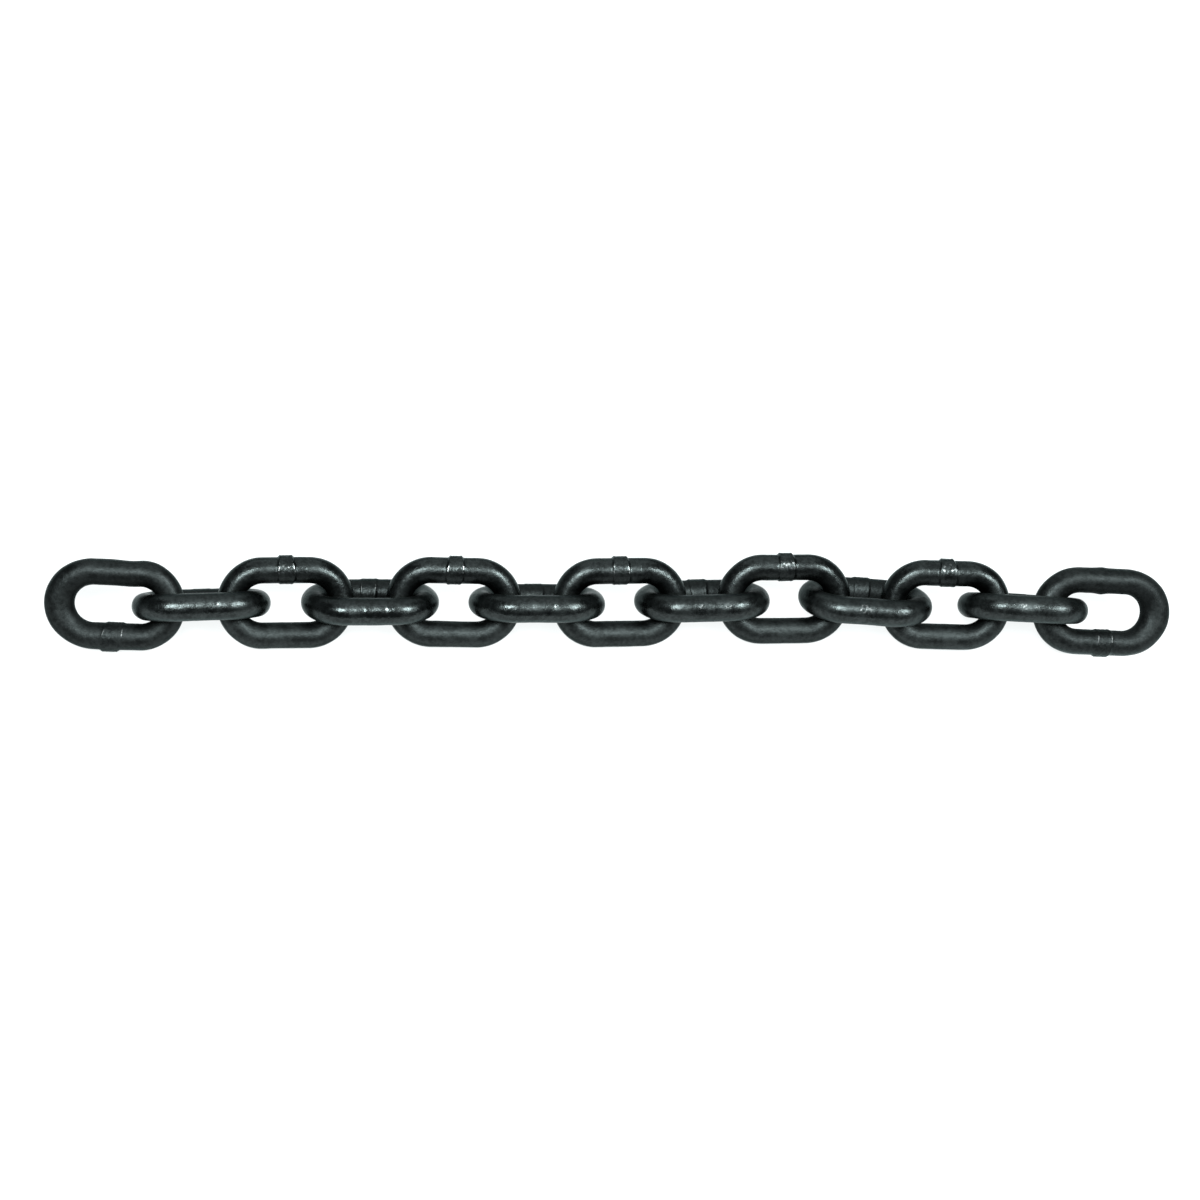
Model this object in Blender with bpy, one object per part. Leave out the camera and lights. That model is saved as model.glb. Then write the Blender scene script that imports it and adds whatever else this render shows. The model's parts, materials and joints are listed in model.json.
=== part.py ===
"""A run of thirteen short welded chain links in black steel, lying pulled straight on a level floor.

Metres, +Z up, +X along the chain. The origin is on the floor, under the middle of the chain.
A link is drawn in its own frame: x along it, y across its plane from limb to limb, z square to the plane.
"""

import math

import bmesh
import bpy
from mathutils import Matrix, Vector

MM = 0.001

# The rod: its thickness lies in the link's plane, its depth is square to it
LIMB_THICKNESS = 0.0095
LIMB_DEPTH = 0.0099
CROWN_THICKNESS = 0.0093
THICK_CROWN_THICKNESS = 0.0112
CROWN_DEPTH = 0.0094

# The butt weld: a raised collar round the middle of one limb
WELD_LENGTH = 0.0067
WELD_SHOULDER = 0.0007
WELD_RISE_OUTSIDE = 0.0007
WELD_RISE_INSIDE = 0.0003
WELD_RISE_FACES = 0.0003

SECTION_SIDES = 16
CROWN_SEGMENTS = 9
SMOOTH_BELOW = math.radians(40)

# The links, from the left: the roll of each about the chain in degrees, the length and the width of its
# opening in millimetres, the limb that its weld is on, how far the weld lies to the right of the limb's
# middle in millimetres, and its share of the full rise
LINKS = (
    (45.0, 29.5, 13.3, "lower", -1.3, 1.0),
    (-52.0, 30.4, 14.1, "lower", 0.2, 0.4),
    (46.0, 30.4, 14.1, "upper", -0.8, 1.0),
    (-39.0, 30.7, 14.1, "lower", 0.0, 0.7),
    (48.0, 30.3, 13.9, "upper", -0.8, 1.0),
    (-45.5, 30.9, 14.1, "lower", 0.3, 0.4),
    (47.0, 30.6, 13.7, "upper", -0.7, 1.0),
    (-42.5, 31.0, 14.1, "lower", 0.0, 1.0),
    (47.0, 30.7, 14.0, "upper", 0.1, 1.0),
    (-37.0, 30.9, 14.1, "lower", 0.0, 1.0),
    (45.0, 29.5, 14.0, "upper", 0.0, 1.0),
    (-54.0, 29.4, 14.1, "lower", 0.1, 0.4),
    (41.0, 30.9, 13.3, "lower", 0.8, 1.0),
)

# The crowns that are thicker, as (link, end), where the end is -1 on the left and 1 on the right
THICK_CROWNS = ((1, -1), (13, -1), (13, 1))

# Where the links hook into each other, from the left, in millimetres: sideways, and above the floor.
# The first and the last of these are the inner edges of the two free crowns.
CROSSINGS = (
    (1.4, 13.2),
    (-0.8, 14.35),
    (0.3, 14.4),
    (1.7, 13.05),
    (1.7, 13.4),
    (0.6, 14.15),
    (1.2, 13.3),
    (1.8, 13.3),
    (2.7, 13.4),
    (3.1, 13.45),
    (1.1, 12.8),
    (-0.8, 14.5),
    (-2.85, 14.8),
    (-2.6, 12.3),
)

# The play between two links where they hook into each other
PLAY = 0.0007

COATED_STEEL = (0.018, 0.022, 0.023, 1.0)
COATED_ROUGHNESS = 0.35
BARE_STEEL = (0.040, 0.046, 0.047, 1.0)
BARE_ROUGHNESS = 0.55
STEEL_METALLIC = 0.7


def clear_scene():
    for obj in list(bpy.data.objects):
        bpy.data.objects.remove(obj)


def steel(name, colour, roughness):
    material = bpy.data.materials.new(name)
    material.use_nodes = True
    shader = material.node_tree.nodes["Principled BSDF"]
    shader.inputs["Base Color"].default_value = colour
    shader.inputs["Roughness"].default_value = roughness
    shader.inputs["Metallic"].default_value = STEEL_METALLIC
    return material


def floor_facet(roll):
    """The angle round the lower limb, from the outside of the link, that faces the floor."""
    tilt = math.radians(abs(roll))
    return math.atan2(-LIMB_DEPTH * math.cos(tilt), LIMB_THICKNESS * math.sin(tilt))


def section(inner, outward, thickness, depth, facet):
    """A ring round the rod, which stands outward from a point of the opening's edge.

    The middle of one of its sides is at the angle facet."""
    centre = inner + outward * thickness / 2
    ring = []
    for side in range(SECTION_SIDES):
        angle = facet + (side + 0.5) * math.tau / SECTION_SIDES
        across = outward * (math.cos(angle) * thickness / 2)
        ring.append(centre + across + Vector((0, 0, math.sin(angle) * depth / 2)))
    return ring


def crown(end, length, width, nose_thickness, facet):
    """The rings round one end of the link, where end is 1 at +x and -1 at -x.

    The opening is two half circles joined by straight sides."""
    rings = []
    for step in range(CROWN_SEGMENTS + 1):
        turn = math.pi * (step / CROWN_SEGMENTS - 0.5)
        outward = Vector((math.cos(turn), math.sin(turn), 0)) * end
        nose = math.cos(turn) ** 2
        thickness = LIMB_THICKNESS + (nose_thickness - LIMB_THICKNESS) * nose
        depth = LIMB_DEPTH + (CROWN_DEPTH - LIMB_DEPTH) * nose
        inner = Vector((end * (length - width) / 2, 0, 0)) + outward * width / 2
        rings.append(section(inner, outward, thickness, depth, facet))
    return rings


def weld_collar(side, width, place, share, facet):
    """The rings of the raised collar on a limb, where side is 1 at +y and -1 at -y."""
    outward = Vector((0, side, 0))
    plain_inner = outward * width / 2
    raised_inner = plain_inner - outward * WELD_RISE_INSIDE * share
    raised_thickness = LIMB_THICKNESS + (WELD_RISE_INSIDE + WELD_RISE_OUTSIDE) * share
    raised_depth = LIMB_DEPTH + 2 * WELD_RISE_FACES * share
    foot = WELD_LENGTH / 2
    top = foot - WELD_SHOULDER
    rings = []
    for along in (foot, top, -top, -foot):
        station = Vector((place + side * along, 0, 0))
        if abs(along) == foot:
            rings.append(section(plain_inner + station, outward, LIMB_THICKNESS, LIMB_DEPTH, facet))
        else:
            rings.append(section(raised_inner + station, outward, raised_thickness, raised_depth, facet))
    return rings


def loft(name, rings):
    """A closed mesh through the rings, the last of which joins the first."""
    body = bmesh.new()
    loops = [[body.verts.new(point) for point in ring] for ring in rings]
    for here, there in zip(loops, loops[1:] + loops[:1]):
        for side in range(SECTION_SIDES):
            after = (side + 1) % SECTION_SIDES
            body.faces.new((here[side], there[side], there[after], here[after]))
    bmesh.ops.recalc_face_normals(body, faces=body.faces)
    mesh = bpy.data.meshes.new(name)
    body.to_mesh(mesh)
    body.free()
    mesh.shade_smooth()
    mesh.set_sharp_from_angle(angle=SMOOTH_BELOW)
    return mesh


def link_mesh(number, roll, length, width, weld_limb, weld_place, weld_share):
    """One link in its own frame, its rings in order round it."""
    # The +y limb is the upper one where the roll is positive, and the lower one where it is negative
    upper_side = 1 if roll > 0 else -1
    weld_side = upper_side if weld_limb == "upper" else -upper_side
    facet = floor_facet(roll)
    collar = weld_collar(weld_side, width * MM, weld_place * MM, weld_share, facet)
    rings = []
    for end in (1, -1):
        nose_thickness = THICK_CROWN_THICKNESS if (number, end) in THICK_CROWNS else CROWN_THICKNESS
        rings += crown(end, length * MM, width * MM, nose_thickness, facet)
        if weld_side == end:
            rings += collar
    return loft(f"link_{number:02d}", rings)


def crossing_points():
    """The crossings as points. A link reaches from one to the next, less half of the play at each."""
    points = [Vector((0, sideways * MM, height * MM)) for sideways, height in CROSSINGS]
    for number, (_, length, *_) in enumerate(LINKS, start=1):
        hooked_ends = 1 if number in (1, len(LINKS)) else 2
        reach = length * MM - hooked_ends * PLAY / 2
        rise = points[number] - points[number - 1]
        points[number].x = points[number - 1].x + math.sqrt(reach**2 - rise.y**2 - rise.z**2)
    return points


def attitude(left, right, roll):
    """The place of a link that reaches from one crossing to the next, rolled about that line."""
    along = (right - left).normalized()
    sideways = Vector((0, 0, 1)).cross(along).normalized()
    upwards = along.cross(sideways)
    across = sideways * math.cos(math.radians(roll)) + upwards * math.sin(math.radians(roll))
    turn = Matrix((along, across, along.cross(across))).transposed().to_4x4()
    return Matrix.Translation((left + right) / 2) @ turn


def stood_at_origin(meshes, places):
    """The same places, moved so that the origin is under the chain's middle, on the floor."""
    points = [place @ vertex.co for mesh, place in zip(meshes, places) for vertex in mesh.vertices]
    middle_x = (min(p.x for p in points) + max(p.x for p in points)) / 2
    middle_y = (min(p.y for p in points) + max(p.y for p in points)) / 2
    floor = min(p.z for p in points)
    shift = Matrix.Translation((-middle_x, -middle_y, -floor))
    return [shift @ place for place in places]


def main():
    clear_scene()
    coated = steel("coated_steel", COATED_STEEL, COATED_ROUGHNESS)
    bare = steel("bare_steel", BARE_STEEL, BARE_ROUGHNESS)
    meshes = [link_mesh(number, *link) for number, link in enumerate(LINKS, start=1)]
    crossings = crossing_points()
    rolls = [roll for roll, *_ in LINKS]
    places = [attitude(*ends) for ends in zip(crossings, crossings[1:], rolls)]
    for mesh, place in zip(meshes, stood_at_origin(meshes, places)):
        mesh.materials.append(bare if mesh in (meshes[0], meshes[-1]) else coated)
        link = bpy.data.objects.new(mesh.name, mesh)
        link.matrix_world = place
        bpy.context.scene.collection.objects.link(link)


main()
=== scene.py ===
"""The looks of a run of thirteen short welded chain links in black steel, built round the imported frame.

Metres, +Z up, +X along the chain. A link is drawn in its own frame: x along it, y across its plane from
limb to limb, z square to the plane. It is then placed where its solid lies in the frame.
"""

import json
import math

import bpy
import numpy as np
from mathutils import Matrix, Vector


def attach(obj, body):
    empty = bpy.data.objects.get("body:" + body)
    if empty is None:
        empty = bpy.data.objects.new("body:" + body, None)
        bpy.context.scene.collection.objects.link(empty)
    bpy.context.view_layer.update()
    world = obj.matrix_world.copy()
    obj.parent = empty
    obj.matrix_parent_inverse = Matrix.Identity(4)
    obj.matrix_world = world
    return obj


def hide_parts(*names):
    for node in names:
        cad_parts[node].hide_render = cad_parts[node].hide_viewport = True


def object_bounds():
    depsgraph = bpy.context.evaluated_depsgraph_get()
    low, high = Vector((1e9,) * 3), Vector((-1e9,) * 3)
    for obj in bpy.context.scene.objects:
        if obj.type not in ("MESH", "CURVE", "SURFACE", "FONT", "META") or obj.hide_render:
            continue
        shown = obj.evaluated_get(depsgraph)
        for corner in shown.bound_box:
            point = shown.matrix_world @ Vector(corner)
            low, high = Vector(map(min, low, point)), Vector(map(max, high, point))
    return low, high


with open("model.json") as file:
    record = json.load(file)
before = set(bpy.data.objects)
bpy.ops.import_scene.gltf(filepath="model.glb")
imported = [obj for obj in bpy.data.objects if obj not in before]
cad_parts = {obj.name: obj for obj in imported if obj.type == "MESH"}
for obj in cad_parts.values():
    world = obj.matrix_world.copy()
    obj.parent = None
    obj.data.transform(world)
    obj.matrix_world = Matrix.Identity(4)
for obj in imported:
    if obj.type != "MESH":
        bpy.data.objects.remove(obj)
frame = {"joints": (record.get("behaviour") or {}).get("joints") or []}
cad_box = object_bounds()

MM = 0.001

# The sizes of the rod, as in the solids. The crowns are curved here, so their noses are a little thinner
# to reach as far as the flat-sided crowns of the solids.
LIMB_THICKNESS = 9.5 * MM
LIMB_DEPTH = 9.9 * MM
SOLID_CROWN_THICKNESS = 9.3 * MM
CROWN_THICKNESS = 9.2 * MM
CROWN_DEPTH = 9.4 * MM

# A round rod of about the same area as the solids' flat-sided one is slimmer by this factor
SECTION_FIT = 0.988

# The links as in the solids, from the left: the roll of each about the chain in degrees, the length and
# the width of its opening in millimetres, the limb that its weld is on, how far the weld lies to the right
# of the limb's middle in millimetres, and its share of the full rise
LINKS = (
    (45.0, 29.5, 13.3, "lower", -1.3, 1.0),
    (-52.0, 30.4, 14.1, "lower", 0.2, 0.4),
    (46.0, 30.4, 14.1, "upper", -0.8, 1.0),
    (-39.0, 30.7, 14.1, "lower", 0.0, 0.7),
    (48.0, 30.3, 13.9, "upper", -0.8, 1.0),
    (-45.5, 30.9, 14.1, "lower", 0.3, 0.4),
    (47.0, 30.6, 13.7, "upper", -0.7, 1.0),
    (-42.5, 31.0, 14.1, "lower", 0.0, 1.0),
    (47.0, 30.7, 14.0, "upper", 0.1, 1.0),
    (-37.0, 30.9, 14.1, "lower", 0.0, 1.0),
    (45.0, 29.5, 14.0, "upper", 0.0, 1.0),
    (-54.0, 29.4, 14.1, "lower", 0.1, 0.4),
    (41.0, 30.9, 13.3, "lower", 0.8, 1.0),
)

# The crowns that are thicker, as (link, end), where the end is -1 on the left and 1 on the right
THICK_CROWNS = {(1, -1): 10.8 * MM, (13, -1): 10.8 * MM, (13, 1): 11.1 * MM}

# Where the links hook into each other, from the left, in millimetres: sideways, and above the floor.
# The first and the last of these are the inner edges of the two free crowns.
CROSSINGS = (
    (1.4, 13.2),
    (-0.8, 14.35),
    (0.3, 14.4),
    (1.7, 13.05),
    (1.7, 13.4),
    (0.6, 14.15),
    (1.2, 13.3),
    (1.8, 13.3),
    (2.7, 13.4),
    (3.1, 13.45),
    (1.1, 12.8),
    (-0.8, 14.5),
    (-2.85, 14.8),
    (-2.6, 12.3),
)

# The play between two links where they hook into each other
PLAY = 0.7 * MM

# How finely a link is drawn: round the rod, round a crown, and along a limb, which is drawn more finely
# within the weld's zone on either side of its middle
SECTION_SIDES = 80
CROWN_STEPS = 88
LIMB_STEP = 0.3 * MM
WELD_STEP = 0.1 * MM
WELD_ZONE = 7.0 * MM

# The raised weld collar of each link, in millimetres: how much further right it lies than in the solids,
# how far it leans from the outside of the limb to the inside, its width on the outside, and how much wider
# it is on the faces. Then from 0 to 1 how much bared steel lies along its two ridges, and how much between
# them: partly worn coating and partly a painted highlight, set where the lamps' highlight falls.
COLLARS = (
    (0.0, 0.85, 6.2, 1.8, 0.65, 0.20),
    (0.0, 0.3, 5.6, 0.8, 0.0, 0.0),
    (0.7, 0.1, 4.9, 1.6, 0.80, 0.55),
    (0.0, -0.2, 5.4, 0.8, 0.60, 0.30),
    (0.9, -0.3, 4.8, 1.7, 0.80, 0.12),
    (0.0, 0.3, 5.5, 0.8, 0.0, 0.0),
    (0.5, 0.1, 5.0, 1.5, 0.80, 0.25),
    (0.0, 0.2, 5.8, 0.7, 0.25, 0.0),
    (0.0, 0.0, 5.0, 1.3, 0.65, 0.66),
    (0.0, -0.3, 5.5, 0.8, 0.20, 0.0),
    (0.2, 0.2, 5.2, 1.4, 0.62, 0.74),
    (0.0, 0.2, 5.6, 0.8, 0.0, 0.0),
    (0.0, 0.3, 5.6, 0.8, 0.70, 0.20),
)

# How far a collar stands out of the rod, and how long the shoulders at its two ends are. On the end links
# they are longer by the factor given.
RISE_OUTSIDE = 0.66 * MM
RISE_INSIDE = 0.28 * MM
RISE_FACES = 0.30 * MM
SHOULDER_OUTSIDE = 0.9 * MM
SHOULDER_FACES = 1.7 * MM
SOFT_SHOULDERS = {1: 1.8, 13: 1.8}

# The low ridge along each end of a collar, how far the ends wander, and the collar's grain. The size of the
# wandering is in radii of the rod.
RIDGE_HEIGHT = 0.07 * MM
RIDGE_WIDTH = 0.36 * MM
RIDGE_INSET = 0.45 * MM
WANDER = 0.16 * MM
WANDER_SIZE = 0.9
COLLAR_GRAIN = 0.035 * MM
COLLAR_GRAIN_SIZE = 0.6 * MM

# The side of the rod where the collars show bared steel, in degrees from the outside of the link: the middle
# of that stretch, which lies elsewhere on some of the links, and its half width. It is set where the lamps'
# highlight falls on each limb, so this bared steel is partly a painted highlight.
WEAR_AND_HIGHLIGHT_MIDDLE = 66
WEAR_AND_HIGHLIGHT_ELSEWHERE = {1: 115, 4: 140, 8: 140, 10: 140, 11: 58, 13: 115}
WEAR_AND_HIGHLIGHT_REACH = 32

# The bared steel on the collars, partly worn coating and partly a painted highlight, comes in spots of this
# size. It fades in from the first to the second value of their pattern, which are given for a collar's
# ridges and for the stretch between them.
SPOT_SIZE = 0.7 * MM
RIDGE_SPOTS = (-1.8, -0.2)
COLLAR_SPOTS = (-1.6, 1.3)

# Small knocks: the link, the limb (1 at +y, -1 at -y), the place along it in millimetres, the place round
# the rod in degrees from the outside of the link, the length, the width and the depth in millimetres, and
# how bright the bared steel is
KNOCKS = (
    (2, -1, 5.6, 14, 1.5, 1.4, 0.14, 0.9),
    (4, -1, -2.8, 25, 1.2, 2.2, 0.08, 0.6),
    (4, -1, 5.1, 25, 1.5, 2.6, 0.10, 0.62),
    (6, -1, -2.9, 20, 1.2, 2.2, 0.08, 0.6),
    (6, -1, 4.7, 20, 1.4, 2.4, 0.10, 0.7),
    (8, -1, -3.0, 22, 2.2, 2.4, 0.06, 0.6),
    (8, -1, 6.8, 22, 6.0, 3.6, 0.08, 0.55),
    (10, -1, -2.6, 28, 9.6, 7.6, 0.06, 0.56),
    (10, -1, -2.2, 26, 1.8, 2.4, 0.06, 0.50),
    (12, -1, -2.8, 11, 4.8, 3.8, 0.16, 0.62),
    (12, -1, 1.8, 8, 2.4, 2.0, 0.10, 0.6),
)

# How far the bared steel spreads within a knock, how bright it is there on average and how much that
# varies, and the size of its spots
BARED_SPREAD = 1.6
BARED_MIDDLE = 0.6
BARED_VARIATION = 0.4
BARED_SPOT_SIZE = 0.5 * MM

# Wide shallow hollows that the bending and the clamps left, or swellings where the depth is negative: the
# first seven of the same values
SHALLOW_MARKS = (
    (1, 1, 4.5, 0, 11.0, 9.0, 0.40),
    (1, 1, 5.0, 180, 9.0, 8.0, -0.22),
    (1, -1, -3.5, 10, 22.0, 15.0, -0.34),
    (13, 1, -0.9, 180, 4.6, 6.0, -0.40),
    (13, 1, -0.9, 0, 5.4, 6.0, -0.26),
)

# How steeply a knock, a hollow or a swelling falls off
MARK_STEEPNESS = 1.5

# The unevenness of hot-bent rod, which is weaker near the weld. Each link has its own stretch of the
# pattern, which lies this far from the stretch of the link before.
FORGING_HEIGHT = 0.05 * MM
FORGING_SIZE = 6.5 * MM
SCALE_HEIGHT = 0.012 * MM
SCALE_SIZE = 1.6 * MM
SHARE_AT_WELD = 0.5
OWN_STRETCH = 100 * MM

# Each uneven pattern is a sum of waves, whose fineness varies between two multiples of what its size asks
WAVES = 28
WAVE_RANGE = (0.6, 1.4)

# The seeds of the patterns. The link's number is added to those of the collars.
FORGING_SEED = 1
SCALE_SEED = 2
BARED_SEED = 3
LEFT_END_SEED = 100
RIGHT_END_SEED = 200
COLLAR_GRAIN_SEED = 300
SPOT_SEED = 400

# The two finishes: how much their dark and light patches mirror, how rough they are from low to high, and
# how strong their grain is. Where they are seen at a glancing angle they mirror less than bright metal does.
COATED = {
    "name": "coated_steel",
    "dark": (0.0079, 0.0091, 0.0091, 1.0),
    "light": (0.0154, 0.0178, 0.0178, 1.0),
    "rough": (0.20, 0.32),
    "grain": 0.75,
}
BARE = {
    "name": "bare_steel",
    "dark": (0.0056, 0.0065, 0.0065, 1.0),
    "light": (0.0112, 0.0128, 0.0128, 1.0),
    "rough": (0.35, 0.47),
    "grain": 0.6,
}
GLANCING_TINT = (0.62, 0.66, 0.66, 1.0)
# The bared steel of knocks and collars; on the collars it is partly a painted highlight.
WORN_STEEL_AND_HIGHLIGHT = (0.140, 0.146, 0.146, 1.0)
WORN_ROUGHNESS = 0.44

# The side that faces the opening is a little duller, and its colour is darkened towards near black as
# painted shade. It fades in from the first to the second of these, which run from -1 on the outside of the
# rod to 1 on the inside.
INWARD_FADE = (-0.95, 0.1)
INWARD_DULLNESS = 0.12
INWARD_SHADE_SHARE = 0.52
INWARD_PAINTED_SHADE = (0.0020, 0.0023, 0.0023, 1.0)

# The lower limbs of the odd links keep only a share of that painted shade and, between the two end links,
# they are duller. The change lies within this distance of the link's middle. Some links are duller all over.
LIMB_FADE = 9 * MM
LOWER_LIMB_SHADE_SHARE = 0.6
LOWER_LIMB_DULLNESS = 0.13
DULLER_LINKS = {8: 0.05, 10: 0.06, 12: 0.07}

# The patterns in the steel, each by the scale, the detail and the roughness of its noise, which varies about
# a middle value. The pits are cells, deepest up to the first of two distances from their middle and level
# with the rest from the second on.
PATCHES = (160, 3, 0.6)
BLOTCHES = (700, 3, 0.7)
SPECKLE = (1500, 3, 0.65)
GRAIN = (900, 3, 0.55)
NOISE_MIDDLE = 0.5
PIT_SCALE = 700
PIT_EDGES = (0.05, 0.34)

# What the patterns do: their shares in the tone, the roughness and the bump, how ragged they make the worn
# spots, and the two values between which tone, wear and roughness run from low to high
PATCHES_IN_TONE = 0.4
BLOTCHES_IN_TONE = 0.6
TONE_EDGES = (0.38, 0.62)
SPECKLE_IN_WEAR = 0.7
WEAR_EDGES = (0.42, 1.0)
SPECKLE_IN_ROUGHNESS = 0.4
ROUGHNESS_EDGES = (0.55, 0.85)
GRAIN_IN_BUMP = 0.6
PITS_IN_BUMP = 0.2
BUMP_DISTANCE = 0.12 * MM

# The camera, as fitted to the photograph: where it stands round the chain, how far it leans, where it aims,
# and its sensor and lens in millimetres
CAMERA_AZIMUTH = math.radians(12.66)
CAMERA_ELEVATION = math.radians(55.0)
CAMERA_ROLL = math.radians(10.45)
CAMERA_DISTANCE = 1.0
CAMERA_HEIGHT_AIM = 14.5 * MM
CAMERA_RIGHT_AIM = -7.40 * MM
CAMERA_UP_AIM = 1.25 * MM
SENSOR = 36.0
LENS = 83.43
CLIP_START = 0.05
CLIP_END = 50.0

# The light: soft lamps at a great distance, each given by the way to it, its width in degrees and its
# strength, and a surround
LAMPS = (
    ("lamp_left", (-0.24, -0.37, 0.90), 18, 12.4),
    ("lamp_right", (0.52, -0.28, 0.80), 18, 11.4),
    ("softbox", (0.05, -0.10, 0.98), 60, 2.1),
    ("softbox_behind", (0.0, 0.75, 0.66), 60, 1.7),
)
LAMP_COLOUR = (0.94, 1.0, 1.0)
SURROUND = (0.90, 0.98, 1.0, 1.0)
SURROUND_STRENGTH = 0.5

# The floor is dark in itself and looks pale by its own glow, a painted light, so that shadows on it stay
# faint.
# The glow is stronger in front of the chain, where it throws painted light onto the lower edges of the
# links, and changes between two places across it.
FLOOR_REACH = 6.0
FLOOR_TONES = ((0.04, 0.042, 0.042, 1.0), (0.046, 0.047, 0.047, 1.0))
FLOOR_PATTERN = (3, 2, 0.5)
FLOOR_ROUGHNESS = 0.9
GLOW_COLOUR = (0.97, 1.0, 1.0, 1.0)
FRONT_GLOW = 3.4
BACK_GLOW = 0.92
FRONT_FLOOR = -19 * MM
BACK_FLOOR = -12 * MM


def attitude(left, right, roll):
    """The place of a link that reaches from one crossing to the next, rolled about that line."""
    along = (right - left).normalized()
    sideways = Vector((0, 0, 1)).cross(along).normalized()
    upwards = along.cross(sideways)
    across = sideways * math.cos(math.radians(roll)) + upwards * math.sin(math.radians(roll))
    turn = Matrix((along, across, along.cross(across))).transposed().to_4x4()
    return Matrix.Translation((left + right) / 2) @ turn


def is_end(number):
    return number in (1, len(LINKS))


def crossing_points():
    """The crossings as points. A link reaches from one to the next, less half of the play at each."""
    points = [Vector((0, sideways * MM, height * MM)) for sideways, height in CROSSINGS]
    for number, (_, length, *_) in enumerate(LINKS, start=1):
        hooked_ends = 1 if is_end(number) else 2
        reach = length * MM - hooked_ends * PLAY / 2
        rise = points[number] - points[number - 1]
        points[number].x = points[number - 1].x + math.sqrt(reach**2 - rise.y**2 - rise.z**2)
    return points


def link_places():
    """Where each link lies in the frame. The first joint says how far the crossings have to be moved."""
    crossings = crossing_points()
    rolls = [roll for roll, *_ in LINKS]
    places = [attitude(*ends) for ends in zip(crossings, crossings[1:], rolls)]
    first_length = LINKS[0][1] * MM
    crown_centre = Vector((first_length / 2 + SOLID_CROWN_THICKNESS / 2, 0, 0))
    shift = Matrix.Translation(Vector(frame["joints"][0]["pos_m"]) - places[0] @ crown_centre)
    return [shift @ place for place in places]


def waves(points, size, seed):
    """A smooth uneven pattern through space, mostly between -1 and 1, with bumps of about that size."""
    draw = np.random.default_rng(seed)
    total = np.zeros(points.shape[:-1])
    for _ in range(WAVES):
        way = draw.normal(size=3)
        way *= math.pi * draw.uniform(*WAVE_RANGE) / size / np.linalg.norm(way)
        total += np.sin(points @ way + draw.uniform(0, math.tau))
    return total / math.sqrt(WAVES)


def smooth_step(value, low, high):
    """0 up to low, 1 from high on, and a soft rise between the two."""
    share = np.clip((value - low) / (high - low), 0, 1)
    return share * share * (3 - 2 * share)


def crown(end, length, width, nose_thickness):
    """The rings round one end of the link, where end is 1 at +x and -1 at -x: where each starts on the
    opening's edge, the way outward, and the rod's thickness and depth."""
    turn = np.linspace(-math.pi / 2, math.pi / 2, CROWN_STEPS + 1)
    outward = np.stack((np.cos(turn), np.sin(turn)), axis=1) * end
    inner = outward * width / 2 + np.array((end * (length - width) / 2, 0))
    nose = np.cos(turn) ** 2
    thickness = LIMB_THICKNESS + (nose_thickness - LIMB_THICKNESS) * nose
    depth = LIMB_DEPTH + (CROWN_DEPTH - LIMB_DEPTH) * nose
    return inner, outward, thickness, depth


def limb(side, length, width, welded):
    """The same for one straight limb, where side is 1 at +y and -1 at -y."""
    half = (length - width) / 2
    if welded:
        ends = np.arange(WELD_ZONE, half, LIMB_STEP)[1:]
        middle = np.arange(-WELD_ZONE, WELD_ZONE + WELD_STEP / 2, WELD_STEP)
        stations = np.concatenate((ends[::-1], middle[::-1], -ends))
    else:
        stations = np.arange(half - LIMB_STEP, -half + LIMB_STEP / 2, -LIMB_STEP)
    outward = np.tile((0.0, float(side)), (len(stations), 1))
    inner = np.stack((side * stations, np.full(len(stations), side * width / 2)), axis=1)
    return inner, outward, np.full(len(stations), LIMB_THICKNESS), np.full(len(stations), LIMB_DEPTH)


def rod(rings):
    """Points and outward normals of the smooth rod, ring by ring, with the angle of each round the rod."""
    inner, outward, thickness, depth = rings
    angle = np.arange(SECTION_SIDES) * math.tau / SECTION_SIDES
    half_thickness = SECTION_FIT * thickness[:, None] / 2
    half_depth = SECTION_FIT * depth[:, None] / 2
    centre = inner + outward * thickness[:, None] / 2
    across = half_thickness * np.cos(angle)
    points = np.empty((len(inner), SECTION_SIDES, 3))
    points[..., :2] = centre[:, None, :] + outward[:, None, :] * across[..., None]
    points[..., 2] = half_depth * np.sin(angle)
    lift_across = half_depth * np.cos(angle)
    lift_up = half_thickness * np.sin(angle)
    size = np.hypot(lift_across, lift_up)
    normals = np.empty_like(points)
    normals[..., :2] = outward[:, None, :] * (lift_across / size)[..., None]
    normals[..., 2] = lift_up / size
    return points, normals, np.broadcast_to(angle, size.shape)


def weld_side(number):
    """The limb that carries the weld: 1 at +y, -1 at -y."""
    roll, _, _, weld_limb, *_ = LINKS[number - 1]
    # The +y limb is the upper one where the roll is positive, and the lower one where it is negative
    upper_side = 1 if roll > 0 else -1
    return upper_side if weld_limb == "upper" else -upper_side


def link_rod(number):
    """The smooth rod of one link, its rings in order round it."""
    _, length, width, *_ = LINKS[number - 1]
    length *= MM
    width *= MM
    left, right = (THICK_CROWNS.get((number, end), CROWN_THICKNESS) for end in (-1, 1))
    parts = (
        crown(1, length, width, right),
        limb(1, length, width, weld_side(number) > 0),
        crown(-1, length, width, left),
        limb(-1, length, width, weld_side(number) < 0),
    )
    return rod([np.concatenate(rows) for rows in zip(*parts)])


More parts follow.
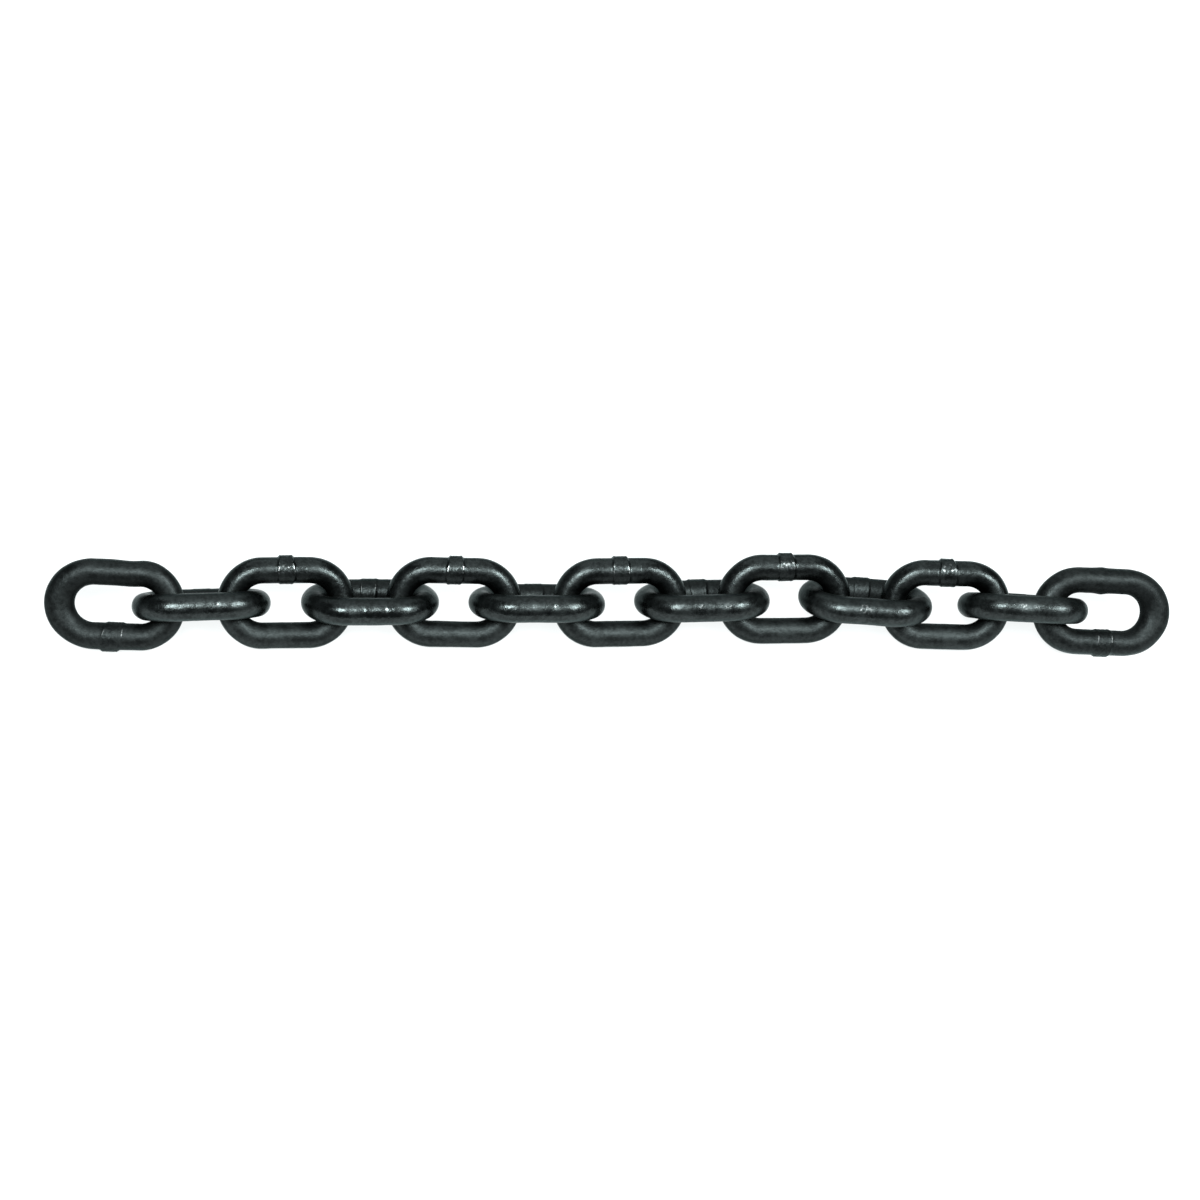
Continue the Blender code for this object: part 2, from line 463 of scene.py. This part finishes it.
def collar(number, along, angle):
    """How far the weld's collar stands out of the rod, and how much bared steel it shows, at each point of
    its limb: partly worn coating, partly a painted highlight where the lamps' highlight falls.
    """
    *_, place, share = LINKS[number - 1]
    shift, lean, width, widening, ridge_wear_and_highlight, between_wear_and_highlight = COLLARS[number - 1]
    around = np.stack((np.cos(angle), np.sin(angle), np.zeros_like(angle)), axis=-1)
    wander_left = WANDER * waves(around, WANDER_SIZE, LEFT_END_SEED + number)
    wander_right = WANDER * waves(around, WANDER_SIZE, RIGHT_END_SEED + number)
    outside = np.cos(angle)
    half_width = (width + widening * np.sin(angle) ** 2) / 2 * MM
    from_middle = along - (place + shift - lean * outside) * MM
    inside = half_width + np.minimum(wander_left + from_middle, wander_right - from_middle)

    beyond_faces = np.where(outside > 0, RISE_OUTSIDE, RISE_INSIDE) - RISE_FACES
    rise = RISE_FACES + beyond_faces * outside**2
    shoulder = SHOULDER_OUTSIDE + (SHOULDER_FACES - SHOULDER_OUTSIDE) * np.sin(angle) ** 2
    shoulder = shoulder * SOFT_SHOULDERS.get(number, 1.0)
    step = smooth_step(inside, -shoulder / 2, shoulder / 2)
    ridge = np.exp(-(((inside - RIDGE_INSET) / RIDGE_WIDTH) ** 2))
    places = np.stack((along, angle * LIMB_DEPTH / 2, np.zeros_like(along)), axis=-1)
    grain = waves(places, COLLAR_GRAIN_SIZE, COLLAR_GRAIN_SEED + number)
    height = share * (rise * step + RIDGE_HEIGHT * ridge + COLLAR_GRAIN * grain * step)

    spots = waves(places, SPOT_SIZE, SPOT_SEED + number)
    # The bared steel is set round the rod where the lamps' highlight is seen: partly a painted highlight.
    wear_and_highlight_angle = WEAR_AND_HIGHLIGHT_ELSEWHERE.get(number, WEAR_AND_HIGHLIGHT_MIDDLE)
    window = np.exp(-(((np.degrees(angle) - wear_and_highlight_angle) / WEAR_AND_HIGHLIGHT_REACH) ** 2))
    stroke = ridge_wear_and_highlight * ridge * smooth_step(spots, *RIDGE_SPOTS)
    patch = between_wear_and_highlight * step * smooth_step(spots, *COLLAR_SPOTS)
    return height, np.maximum(stroke, patch) * window


def hollow(points, angle, side, along, around, length, width):
    """The form of a soft hollow on one limb: 1 at its middle, and fading out past its rim."""
    x, y = points[..., 0], points[..., 1]
    sideways = (np.mod(angle - math.radians(around) + math.pi, math.tau) - math.pi) * LIMB_DEPTH / 2
    across = (2 * (x - along * MM) / (length * MM)) ** 2 + (2 * sideways / (width * MM)) ** 2
    return np.exp(-MARK_STEEPNESS * across) * (y * side > 0)


def marks_of(number, marks):
    """The marks of one link, each without the link's number."""
    return [mark for link, *mark in marks if link == number]


def relief(number, points, angle):
    """How far each point of a link stands out of its smooth rod, and how much bared steel it shows there:
    worn at the knocks, and on the collars partly a painted highlight.
    """
    own = points + np.array((OWN_STRETCH * number, 0, 0))
    height = FORGING_HEIGHT * waves(own, FORGING_SIZE, FORGING_SEED)
    height = height + SCALE_HEIGHT * waves(own, SCALE_SIZE, SCALE_SEED)
    at_weld = (points[..., 1] * weld_side(number) > 0) & (np.abs(points[..., 0]) < WELD_ZONE)
    collar_height, collar_wear_and_highlight = collar(number, points[..., 0], angle)
    height = height * np.where(at_weld, SHARE_AT_WELD, 1.0) + collar_height * at_weld
    wear_and_highlight = collar_wear_and_highlight * at_weld
    for *place, depth, bright in marks_of(number, KNOCKS):
        dent = hollow(points, angle, *place)
        height = height - depth * MM * dent
        spots = BARED_MIDDLE + BARED_VARIATION * waves(own, BARED_SPOT_SIZE, BARED_SEED)
        wear_and_highlight = np.maximum(wear_and_highlight, bright * np.clip(dent * spots * BARED_SPREAD, 0, 1))
    for *place, depth in marks_of(number, SHALLOW_MARKS):
        height = height - depth * MM * hollow(points, angle, *place)
    return height, np.clip(wear_and_highlight, 0, 1)


def shading(number, points, angle):
    """How far each point of a link faces its opening, which sets how much painted shade darkens its colour,
    and how much duller than the finish it is.
    """
    roll, *_ = LINKS[number - 1]
    inwards = smooth_step(-np.cos(angle), *INWARD_FADE)
    dull = INWARD_DULLNESS * inwards + DULLER_LINKS.get(number, 0.0)
    # The odd links are those with a positive roll, and their upper limb is the one at +y
    if roll > 0:
        upper_part = smooth_step(points[..., 1], -LIMB_FADE, LIMB_FADE)
        inwards = inwards * (LOWER_LIMB_SHADE_SHARE + (1 - LOWER_LIMB_SHADE_SHARE) * upper_part)
        if not is_end(number):
            dull = dull + LOWER_LIMB_DULLNESS * (1 - upper_part)
    return inwards, dull


def link_surface(number):
    """The points of one link in its own frame, ring by ring, and what its finish has to know about each."""
    points, normals, angle = link_rod(number)
    height, wear_and_highlight = relief(number, points, angle)
    inwards, dull = shading(number, points, angle)
    return points + normals * height[..., None], {"wear_and_highlight": wear_and_highlight, "inwards": inwards, "dull": dull}


def link_mesh(name, points, marks):
    """A closed mesh through the rings, the last of which joins the first."""
    rings, sides, _ = points.shape
    ring, side = np.meshgrid(np.arange(rings), np.arange(sides), indexing="ij")
    next_ring = (ring + 1) % rings
    next_side = (side + 1) % sides
    corners = (
        ring * sides + side,
        ring * sides + next_side,
        next_ring * sides + next_side,
        next_ring * sides + side,
    )
    faces = np.stack(corners, axis=-1).reshape(-1, 4)
    mesh = bpy.data.meshes.new(name)
    mesh.from_pydata(points.reshape(-1, 3).tolist(), [], faces.tolist())
    for mark, values in marks.items():
        attribute = mesh.attributes.new(mark, "FLOAT", "POINT")
        attribute.data.foreach_set("value", values.ravel().astype(np.float32))
    mesh.shade_smooth()
    return mesh


class Nodes:
    """A material's nodes, with short ways to add and join them."""

    def __init__(self, name):
        self.material = bpy.data.materials.new(name)
        self.material.use_nodes = True
        self.tree = self.material.node_tree
        self.shader = self.tree.nodes["Principled BSDF"]

    def add(self, kind, **settings):
        node = self.tree.nodes.new(kind)
        for key, value in settings.items():
            setattr(node, key, value)
        return node

    def join(self, source, target):
        self.tree.links.new(source, target)

    def mark(self, name):
        """A value that the mesh carries at each point."""
        return self.add("ShaderNodeAttribute", attribute_name=name).outputs["Fac"]

    def noise(self, place, scale, detail, roughness):
        node = self.add("ShaderNodeTexNoise")
        self.join(place, node.inputs["Vector"])
        node.inputs["Scale"].default_value = scale
        node.inputs["Detail"].default_value = detail
        node.inputs["Roughness"].default_value = roughness
        return node.outputs["Fac"]

    def spread(self, value, low, high, to_low=0.0, to_high=1.0):
        node = self.add("ShaderNodeMapRange", interpolation_type="SMOOTHSTEP")
        self.join(value, node.inputs["Value"])
        for key, number in (("From Min", low), ("From Max", high), ("To Min", to_low), ("To Max", to_high)):
            node.inputs[key].default_value = number
        return node.outputs["Result"]

    def math(self, operation, first, second):
        node = self.add("ShaderNodeMath", operation=operation)
        for socket, value in zip(node.inputs, (first, second)):
            if isinstance(value, (int, float)):
                socket.default_value = value
            else:
                self.join(value, socket)
        return node.outputs["Value"]

    def plus(self, first, second):
        return self.math("ADD", first, second)

    def times(self, first, second):
        return self.math("MULTIPLY", first, second)

    def mix(self, share, first, second):
        node = self.add("ShaderNodeMix", data_type="RGBA")
        self.join(share, node.inputs["Factor"])
        for key, value in (("A", first), ("B", second)):
            socket = next(s for s in node.inputs if s.name == key and s.type == "RGBA")
            if isinstance(value, tuple):
                socket.default_value = value
            else:
                self.join(value, socket)
        return next(s for s in node.outputs if s.type == "RGBA")


def steel(finish):
    """Black steel: patchy coating, fine pitted grain, and bared steel where the mesh says so, worn at the
    knocks and on the collars partly a painted highlight. The coating is darkened as painted shade on the
    side that faces the opening.
    """
    nodes = Nodes(finish["name"])
    place = nodes.add("ShaderNodeTexCoord").outputs["Object"]
    patches = nodes.noise(place, *PATCHES)
    blotches = nodes.noise(place, *BLOTCHES)
    speckle = nodes.noise(place, *SPECKLE)
    grain = nodes.noise(place, *GRAIN)
    pits = nodes.add("ShaderNodeTexVoronoi", feature="F1")
    nodes.join(place, pits.inputs["Vector"])
    pits.inputs["Scale"].default_value = PIT_SCALE
    pitted = nodes.spread(pits.outputs["Distance"], *PIT_EDGES)

    raggedness = nodes.times(nodes.math("SUBTRACT", speckle, NOISE_MIDDLE), SPECKLE_IN_WEAR)
    # Bared steel: worn at the knocks, and on the collars partly a painted highlight.
    worn = nodes.spread(nodes.plus(nodes.mark("wear_and_highlight"), raggedness), *WEAR_EDGES)

    tone = nodes.plus(nodes.times(patches, PATCHES_IN_TONE), nodes.times(blotches, BLOTCHES_IN_TONE))
    coating = nodes.mix(nodes.spread(tone, *TONE_EDGES), finish["dark"], finish["light"])
    # Painted shade: the colour darkens towards near black on the side that faces the opening.
    coating = nodes.mix(nodes.times(nodes.mark("inwards"), INWARD_SHADE_SHARE), coating, INWARD_PAINTED_SHADE)
    nodes.join(nodes.mix(worn, coating, WORN_STEEL_AND_HIGHLIGHT), nodes.shader.inputs["Base Color"])
    nodes.shader.inputs["Metallic"].default_value = 1.0
    nodes.shader.inputs["Specular Tint"].default_value = GLANCING_TINT

    uneven = nodes.plus(patches, nodes.times(speckle, SPECKLE_IN_ROUGHNESS))
    roughness = nodes.plus(nodes.spread(uneven, *ROUGHNESS_EDGES, *finish["rough"]), nodes.mark("dull"))
    towards_worn = nodes.times(worn, nodes.math("SUBTRACT", WORN_ROUGHNESS, roughness))
    nodes.join(nodes.plus(roughness, towards_worn), nodes.shader.inputs["Roughness"])

    bump = nodes.add("ShaderNodeBump")
    bump.inputs["Strength"].default_value = finish["grain"]
    bump.inputs["Distance"].default_value = BUMP_DISTANCE
    fine = nodes.plus(nodes.times(grain, GRAIN_IN_BUMP), nodes.times(pitted, PITS_IN_BUMP))
    nodes.join(nodes.plus(blotches, fine), bump.inputs["Height"])
    nodes.join(bump.outputs["Normal"], nodes.shader.inputs["Normal"])
    return nodes.material


def glowing_floor():
    """A matt floor that looks pale by a glow of its own: painted light that also lights the chain from below
    and in front.
    """
    nodes = Nodes("glowing_floor")
    place = nodes.add("ShaderNodeTexCoord").outputs["Object"]
    tone = nodes.mix(nodes.noise(place, *FLOOR_PATTERN), *FLOOR_TONES)
    nodes.join(tone, nodes.shader.inputs["Base Color"])
    nodes.shader.inputs["Roughness"].default_value = FLOOR_ROUGHNESS
    nodes.shader.inputs["Emission Color"].default_value = GLOW_COLOUR
    parts = nodes.add("ShaderNodeSeparateXYZ")
    nodes.join(place, parts.inputs["Vector"])
    glow = nodes.spread(parts.outputs["Y"], FRONT_FLOOR, BACK_FLOOR, FRONT_GLOW, BACK_GLOW)
    nodes.join(glow, nodes.shader.inputs["Emission Strength"])
    return nodes.material


def build_chain():
    """One detailed piece for each link, in the place of its solid."""
    finishes = {"coated_steel": steel(COATED), "bare_steel": steel(BARE)}
    lowest, highest = cad_box
    for number, place in enumerate(link_places(), start=1):
        points, marks = link_surface(number)
        turn = np.array(place.to_3x3())
        points = points @ turn.T + np.array(place.translation)
        # No link may reach past the solids' box. The few points that would, by under 0.1 mm and most of them
        # on the floor's side, are worn level with it.
        points = np.clip(points, np.array(lowest), np.array(highest))
        finish = "bare_steel" if is_end(number) else "coated_steel"
        mesh = link_mesh(f"chain_link_{number:02d}", points, marks)
        mesh.materials.append(finishes[finish])
        piece = bpy.data.objects.new(mesh.name, mesh)
        bpy.context.scene.collection.objects.link(piece)
        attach(piece, f"link_{number:02d}")
        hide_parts(f"link_{number:02d}")


def build_floor():
    mesh = bpy.data.meshes.new("floor")
    reach = FLOOR_REACH
    corners = [(-reach, -reach, 0), (reach, -reach, 0), (reach, reach, 0), (-reach, reach, 0)]
    mesh.from_pydata(corners, [], [(0, 1, 2, 3)])
    mesh.materials.append(glowing_floor())
    floor = bpy.data.objects.new("floor", mesh)
    bpy.context.scene.collection.objects.link(floor)


def build_light():
    world = bpy.data.worlds.new("surround")
    world.use_nodes = True
    background = world.node_tree.nodes["Background"]
    background.inputs["Color"].default_value = SURROUND
    background.inputs["Strength"].default_value = SURROUND_STRENGTH
    bpy.context.scene.world = world
    for name, way, width, strength in LAMPS:
        lamp = bpy.data.objects.new(name, bpy.data.lights.new(name, "SUN"))
        lamp.data.angle = math.radians(width)
        lamp.data.energy = strength
        lamp.data.color = LAMP_COLOUR
        lamp.rotation_mode = "QUATERNION"
        lamp.rotation_quaternion = Vector(way).to_track_quat("Z", "Y")
        bpy.context.scene.collection.objects.link(lamp)


def build_camera():
    """The camera of the photograph: a long lens, above and in front of the chain, and a little rolled."""
    level = math.cos(CAMERA_ELEVATION)
    sideways, ahead = math.sin(CAMERA_AZIMUTH), math.cos(CAMERA_AZIMUTH)
    forward = Vector((sideways * level, ahead * level, -math.sin(CAMERA_ELEVATION)))
    level_right = Vector((ahead, -sideways, 0))
    level_up = level_right.cross(forward)
    right = level_right * math.cos(CAMERA_ROLL) + level_up * math.sin(CAMERA_ROLL)
    up = level_up * math.cos(CAMERA_ROLL) - level_right * math.sin(CAMERA_ROLL)
    aim = Vector((0, 0, CAMERA_HEIGHT_AIM)) + right * CAMERA_RIGHT_AIM + up * CAMERA_UP_AIM
    camera = bpy.data.objects.new("camera", bpy.data.cameras.new("camera"))
    camera.data.sensor_width = SENSOR
    camera.data.lens = LENS
    camera.data.clip_start = CLIP_START
    camera.data.clip_end = CLIP_END
    axes = Matrix((right, up, -forward)).transposed().to_4x4()
    camera.matrix_world = Matrix.Translation(aim - forward * CAMERA_DISTANCE) @ axes
    bpy.context.scene.collection.objects.link(camera)
    bpy.context.scene.camera = camera


bpy.context.scene.view_settings.view_transform = "Standard"
build_camera()
build_chain()
build_floor()
build_light()
